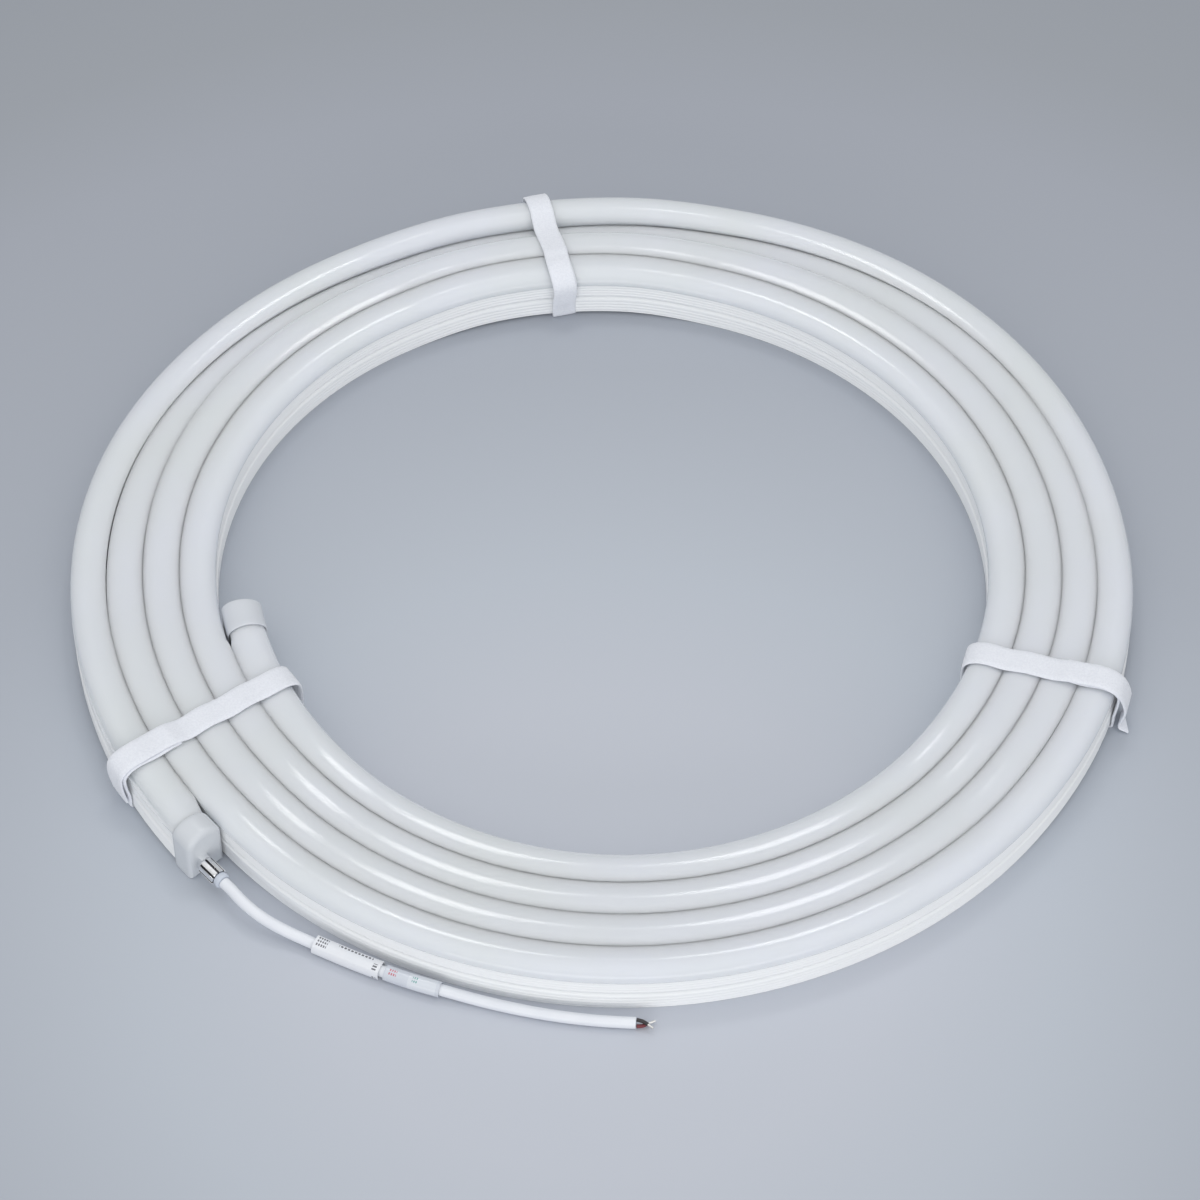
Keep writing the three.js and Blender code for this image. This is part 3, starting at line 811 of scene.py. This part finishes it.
def make_strip(materials):
    start = INNER_TIP_ANGLE + angle_for(CAP_END_WALL + CAP_CLEARANCE, INNER_TIP_ANGLE)
    end = OUTER_TIP_ANGLE - angle_for(CAP_END_WALL + CAP_CLEARANCE, OUTER_TIP_ANGLE)
    inside = np.arange(math.ceil(start / RING_STEP + RING_ROOM), end / RING_STEP - RING_ROOM) * RING_STEP
    angles = [start, *inside, end]
    rings = [ring_points(angle, strip_section(angle)) for angle in angles]
    strip = make_object("silicone_strip", *skin(rings), 58)
    place_piece(strip, materials["dome"], "silicone_white", "neon_strip")
    strip.data.materials.append(materials["body"])
    count = len(rings[0])
    wall = len(WALL)
    for polygon in strip.data.polygons:
        j = polygon.index % count
        on_dome = wall - 2 <= j <= count - wall
        polygon.material_index = 0 if on_dome else 1


def shrink(section, amount):
    radii = [r for r, _ in section]
    heights = [z for _, z in section]
    mid_r = (min(radii) + max(radii)) / 2
    mid_z = (min(heights) + max(heights)) / 2
    half_r = max(radii) - mid_r
    half_z = max(heights) - mid_z
    return [
        (mid_r + (r - mid_r) * (1 - amount / half_r), mid_z + (z - mid_z) * (1 - amount / half_z))
        for r, z in section
    ]


def rim_angles(count):
    """Angles from 0 to a right angle."""
    return [math.radians(90 * i / count) for i in range(count + 1)]


def cap_rings(tip, sign, length, rounding, taper):
    def at(distance):
        return tip + sign * angle_for(distance, tip)

    def outside(distance, inset=0.0):
        return ring_points(at(distance), shrink(plain_section(at(distance), CAP_OFFSET), inset))

    def pocket(distance):
        return ring_points(at(distance), plain_section(at(distance), CAP_CLEARANCE))

    rings = []
    for turn in rim_angles(6):
        rings.append(outside(rounding * (1 - math.cos(turn)), rounding * (1 - math.sin(turn))))
    for i in range(1, 7):
        rings.append(outside(rounding + (length - taper - rounding) * i / 6))
    for turn in rim_angles(5)[1:]:
        from_rim = taper * (1 - math.sin(turn))
        rings.append(outside(length - from_rim, CAP_RIM_INSET * (1 - math.cos(turn))))
    rings.append(pocket(length))
    rings.append(pocket(length / 2))
    rings.append(pocket(CAP_END_WALL))
    return rings


def make_caps(materials):
    cup = cap_rings(INNER_TIP_ANGLE, 1, INNER_CAP_LENGTH, CAP_ROUNDING, INNER_CAP_TAPER)
    inner = make_object("inner_cap", *skin(cup), 50)
    place_piece(inner, materials["cap"], "cap_silicone", "inner_end_cap")
    cup = cap_rings(OUTER_TIP_ANGLE, -1, FEED_CAP_LENGTH, FEED_CAP_ROUNDING, FEED_CAP_TAPER)
    face = np.array(cup[0])
    away = face - OUTLET_POINT
    side = away @ OUTLET_SIDE
    up = away[:, 2]
    reach = 1 / np.hypot(side, up)

    def circle(distance, radius):
        scale = (reach * radius)[:, None]
        return list(outlet_at(distance) + scale * (side[:, None] * OUTLET_SIDE + up[:, None] * UP))

    boss = []
    for turn in rim_angles(4):
        distance = BOSS_LENGTH - BOSS_ROUNDING * (1 - math.cos(turn))
        boss.append(circle(distance, BOSS_RADIUS - BOSS_ROUNDING * (1 - math.sin(turn))))
    boss.append(circle(BOSS_FILLET, BOSS_RADIUS))
    boss.append(circle(0.0, BOSS_RADIUS + BOSS_FILLET))
    outer = make_object("feed_cap", *skin([*boss, *cup]), 50)
    place_piece(outer, materials["cap"], "cap_silicone", "feed_end_cap")


def make_collar(materials):
    outline = []
    slot_half = math.pi / COLLAR_BARS * COLLAR_SLOT_SHARE
    for i in range(COLLAR_BARS):
        centre = 2 * math.pi * i / COLLAR_BARS
        following = centre + 2 * math.pi / COLLAR_BARS
        outline.append((centre - slot_half, COLLAR_RADIUS - COLLAR_SLOT_DEPTH))
        outline.append((centre + slot_half, COLLAR_RADIUS - COLLAR_SLOT_DEPTH))
        outline.append((centre + slot_half * COLLAR_SLOT_FLARE, COLLAR_RADIUS - COLLAR_EDGE_DROP))
        for k in range(5):
            share = 0.06 + 0.88 * k / 4
            turn = centre + slot_half + (following - centre - 2 * slot_half) * share
            outline.append((turn, COLLAR_RADIUS))
        outline.append((following - slot_half * COLLAR_SLOT_FLARE, COLLAR_RADIUS - COLLAR_EDGE_DROP))

    def loop(distance, radius_change, bore=False):
        spots = []
        for turn, radius in outline:
            reach = COLLAR_BORE if bore else radius + radius_change
            offset = reach * (math.cos(turn) * OUTLET_SIDE + math.sin(turn) * UP)
            spots.append(outlet_at(distance) + offset)
        return spots

    start, end, bevel = COLLAR_START, COLLAR_START + COLLAR_LENGTH, COLLAR_END_BEVEL
    rings = [loop(start, -bevel), loop(start + bevel, 0.0), loop(end - bevel, 0.0), loop(end, -bevel)]
    rings += [loop(end, 0.0, True), loop(start, 0.0, True)]
    collar = make_object("collar", *skin(rings, looped=True), 40)
    place_piece(collar, materials["metal"], "collar_metal", "crimp_collar")
    # The second material is painted shade: the slots' floors and side walls are made near-black where shadow
    # falls in them
    collar.data.materials.append(materials["slot"])
    bar = len(outline) // COLLAR_BARS
    for polygon in collar.data.polygons:
        loop_index, spot = divmod(polygon.index, len(outline))
        if loop_index < 3 and spot % bar in (0, 1, bar - 1):
            polygon.material_index = 1


def make_bushing(materials):
    spigot = COLLAR_BORE - SEAT
    bottom = -COLLAR_LENGTH + SEAT
    profile = [(AXIS_RADIUS, bottom), (spigot, bottom), (spigot, SEAT)]
    profile.append((BUSHING_RADIUS - BUSHING_LIP, SEAT))
    for turn in rim_angles(4):
        inset = BUSHING_ROUNDING * (1 - math.cos(turn))
        height = BUSHING_LENGTH - BUSHING_ROUNDING + BUSHING_ROUNDING * math.sin(turn)
        profile.append((BUSHING_RADIUS - inset, height))
    profile.append((AXIS_RADIUS, BUSHING_LENGTH))
    rings = []
    for radius, z in profile:
        circle = []
        for i in range(BUSHING_SIDES):
            turn = 2 * math.pi * i / BUSHING_SIDES
            offset = radius * (math.cos(turn) * OUTLET_SIDE + math.sin(turn) * UP)
            circle.append(outlet_at(BUSHING_START + z) + offset)
        rings.append(circle)
    bushing = make_object("bushing", *skin(rings), 40)
    place_piece(bushing, materials["bushing"], "bushing_plastic", "cable_bushing")


# Straps

def strap_path(strap):
    """A strap's middle line from its covered end to its free tip, and its pivot's radius."""
    first = (strap["compass"] - START_COMPASS) % 360
    last = first + 360 * (strap["turns"] - 1)
    skew = math.radians(strap["direction"] - strap["compass"])
    inner_edge = strip_edges(first)[0]
    outer_edge = strip_edges(last)[1]
    pivot = (inner_edge + outer_edge) / 2
    facet_sag = lane_radius(last) * (1 - math.cos(math.radians(FACET_ANGLE / 2)))
    side_room = STRAP_CLEARANCE + abs(math.tan(skew)) * STRAP_WIDTH / 2 + FACET_ROOM * facet_sag
    reach = (outer_edge - inner_edge) / 2 / math.cos(skew) + side_room
    crown = HALF_STRIP + side_room
    flat = reach - crown
    half = STRAP_THICKNESS / 2
    layer = STRAP_THICKNESS + LAYER_GAP
    top = STRAP_LIFT + CROWN_HEIGHT + STRAP_CLEARANCE
    shoulder = STRAP_LIFT + WALL_HEIGHT
    crest_step = 2 * flat / (strap["turns"] - 1)
    covered_end = reach - strap["overlap"]

    def over_top(start, end, level):
        points = []
        count = max(2, round((end - start) / TOP_STEP))
        for i in range(count + 1):
            t = start + (end - start) * i / count
            crease = CREASE_DIP * (1 - math.cos(2 * math.pi * (t + flat) / crest_step)) / 2
            sunk = strap["dip"] * math.exp(-((t + flat - crest_step) / DIP_SPREAD) ** 2)
            points.append((t, top + half + level - crease - sunk))
        return points

    def round_crown(side, out, turns):
        points = []
        for turn in map(math.radians, turns):
            t = reach + (half + out) * math.cos(turn) - crown * (1 - math.cos(turn))
            points.append((side * t, shoulder + (top - shoulder + half + out) * math.sin(turn)))
        return points

    points = over_top(covered_end, flat, 0.0)
    points += round_crown(1, 0.0, COVERED_CROWN_TURNS)
    points += [(reach + half + out, height) for out, height in COVERED_SIDE]
    points.append((reach - STRAP_FOOT_INSET, half + 0.4))
    points += [(share * reach, half) for share in FOOT_SHARES]
    points.append((-reach + 2, half))
    points.append((-reach - half + 0.2, half + 0.5))
    points += [(-reach - half, 3.0), (-reach - half, shoulder / 2)]
    points += round_crown(-1, 0.0, OTHER_CROWN_TURNS)
    points += over_top(-flat, covered_end - 4, 0.0)
    points += over_top(covered_end + 2, flat, layer)
    points += round_crown(1, layer, COVERED_CROWN_TURNS)
    points += [(reach + half + layer + out, height) for out, height in strap["tip"]]
    return [(strap["overlapped_side"] * t, z) for t, z in points], pivot


def make_strap(strap, material, seed):
    points, pivot = strap_path(strap)
    line = catmull_rom([(s, z, 0.0) for s, z in points], STRAP_SAMPLES)[:, :2]
    ahead = np.gradient(line, axis=0)
    ahead /= np.linalg.norm(ahead, axis=1)[:, None]
    outward = np.stack([-ahead[:, 1], ahead[:, 0]], axis=1)
    share = np.linspace(-0.5, 0.5, len(line))
    direction = math.radians(strap["direction"])
    along = np.array([math.cos(direction), math.sin(direction), 0.0])
    across = np.array([-math.sin(direction), math.cos(direction), 0.0])
    compass = math.radians(strap["compass"])
    origin = np.array([pivot * math.cos(compass), pivot * math.sin(compass), 0.0])
    half_width = strap["width"] / 2
    outline = rounded_outline(half_width, STRAP_THICKNESS / 2, STRAP_SQUARENESS, STRAP_SIDES)
    nap = np.random.default_rng(seed).normal(0.0, NAP, (len(line), len(outline)))
    rings = []
    for (s, z), (os, oz), place, roughness in zip(line, outward, share, nap):
        shift = strap["drift"] * place + EDGE_WAVE * math.sin(place * strap["waves"])
        flick = strap["flick"] * smoothstep(place, FLICK_FROM, 0.5) / half_width
        ring = []
        for (a, b), rough in zip(outline, roughness):
            a += math.copysign(rough, a) + shift
            b += 0.5 * rough
            spot = origin + (s + os * b - flick * a) * along + a * across + (z + oz * b) * UP
            spot[2] = max(FLOOR_LIFT, spot[2])
            ring.append(spot)
        rings.append(ring)
    obj = make_object(strap["name"] + "_band", *skin(rings), 75)
    place_piece(obj, material, "strap_fabric", strap["name"])


# Stage

def make_floor():
    mesh = bpy.data.meshes.new("floor")
    corners = [(x * FLOOR_HALF_SIZE, y * FLOOR_HALF_SIZE, 0) for x, y in ((-1, -1), (1, -1), (1, 1), (-1, 1))]
    mesh.from_pydata(corners, [], [(0, 1, 2, 3)])
    floor = bpy.data.objects.new("floor", mesh)
    bpy.context.scene.collection.objects.link(floor)
    material, nodes, links, shader = new_material("floor")
    coords = nodes.new("ShaderNodeTexCoord")
    away = nodes.new("ShaderNodeVectorMath")
    away.operation = "DISTANCE"
    away.inputs[1].default_value = FLOOR_LIGHT_POOL_CENTRE
    links.new(coords.outputs["Object"], away.inputs[0])
    # Painted pool of light: the floor's colour darkens with distance from its centre in front of the coil
    ramp = ramp_node(nodes, links, away.outputs["Value"], FLOOR_PAINTED_LIGHT_TONES)
    links.new(ramp.outputs["Color"], shader.inputs["Base Color"])
    shader.inputs["Roughness"].default_value = 0.9
    mesh.materials.append(material)


def softbox(name, towards, distance, size, lean, radiance):
    """A softbox that faces the coil from one direction, with its long way along the lean."""
    out = Vector(towards).normalized()
    long_way = Vector(lean)
    long_way = (long_way - long_way.dot(out) * out).normalized()
    data = bpy.data.lights.new(name, "AREA")
    data.shape = "RECTANGLE"
    data.size, data.size_y = size
    data.energy = radiance * math.pi * data.size * data.size_y
    lamp = bpy.data.objects.new(name, data)
    bpy.context.scene.collection.objects.link(lamp)
    turn = Matrix((long_way, out.cross(long_way), out)).transposed()
    lamp.matrix_world = Matrix.LocRotScale(out * distance, turn, None)


def make_sky():
    world = bpy.data.worlds.new("studio")
    bpy.context.scene.world = world
    world.use_nodes = True
    nodes, links = world.node_tree.nodes, world.node_tree.links
    coords = nodes.new("ShaderNodeTexCoord")
    split = nodes.new("ShaderNodeSeparateXYZ")
    links.new(coords.outputs["Generated"], split.inputs["Vector"])
    height = math_node(nodes, links, "POWER", split.outputs["Z"], 2.0)
    level = math_node(nodes, links, "MULTIPLY_ADD", height, SKY_OVERHEAD, SKY_LEVEL)
    forward = math_node(nodes, links, "MULTIPLY_ADD", split.outputs["Y"], -SKY_FRONT_SHARE, 1.0)
    background = nodes["Background"]
    background.inputs["Color"].default_value = (0.97, 0.985, 1.0, 1.0)
    links.new(math_node(nodes, links, "MULTIPLY", level, forward), background.inputs["Strength"])


def make_lights():
    for name, side in (("left_softbox", -1), ("right_softbox", 1)):
        towards = (side * SOFTBOX_TOWARDS[0], *SOFTBOX_TOWARDS[1:])
        lean = (side * SOFTBOX_LEAN[0], *SOFTBOX_LEAN[1:])
        softbox(name, towards, SOFTBOX_DISTANCE, SOFTBOX_SIZE, lean, SOFTBOX_RADIANCE)
    softbox("front_fill", FILL_TOWARDS, FILL_DISTANCE, FILL_SIZE, (1, 0, 0), FILL_RADIANCE)
    make_sky()


def make_materials():
    return {
        "dome": silicone_material("silicone_dome", (0.72, 0.745, 0.76), (0.735, 0.755, 0.80), 0.1, 0.008),
        "body": silicone_material("silicone_body", (0.91, 0.925, 0.94), (0.93, 0.94, 0.95), 0.3, 0.0),
        "cap": silicone_material("cap_silicone", (0.65, 0.675, 0.70), (0.67, 0.695, 0.74), 0.25, 0.0),
        "strap": fabric_material("strap_fabric", (0.80, 0.82, 0.885), (0.885, 0.905, 0.96)),
        "metal": metal_material("collar_metal", (0.82, 0.82, 0.83), (0.92, 0.92, 0.93), 0.16),
        # Near-black painted shade for the collar's slots, standing in for the shadow in them
        "slot": metal_material("collar_slot_painted_shade", (0.05, 0.05, 0.055), (0.10, 0.10, 0.11), 0.5),
        "bushing": plastic_material("bushing_plastic", (0.55, 0.60, 0.68), (0.62, 0.66, 0.74), 0.25),
        "jacket": plastic_material("jacket_white", (0.79, 0.81, 0.86), (0.83, 0.85, 0.89), 0.3),
        "label": plastic_material("label_white", (0.79, 0.81, 0.85), (0.83, 0.84, 0.87), 0.4),
        "sleeve": plastic_material("sleeve_clear", (0.60, 0.63, 0.69), (0.65, 0.68, 0.74), 0.15),
        "black": plastic_material("insulation_black", (0.02, 0.018, 0.02), (0.035, 0.03, 0.03), 0.4),
        "red": plastic_material("insulation_red", (0.14, 0.02, 0.03), (0.20, 0.03, 0.04), 0.4),
        "tinned": metal_material("tinned_wire", (0.70, 0.69, 0.66), (0.86, 0.85, 0.82), 0.3),
    }


make_camera()
materials = make_materials()
make_cable(materials)
make_strip(materials)
make_caps(materials)
make_collar(materials)
make_bushing(materials)
for seed, strap in enumerate(STRAPS):
    make_strap(strap, materials["strap"], seed)
make_floor()
make_lights()
bpy.context.scene.view_settings.view_transform = "Standard"
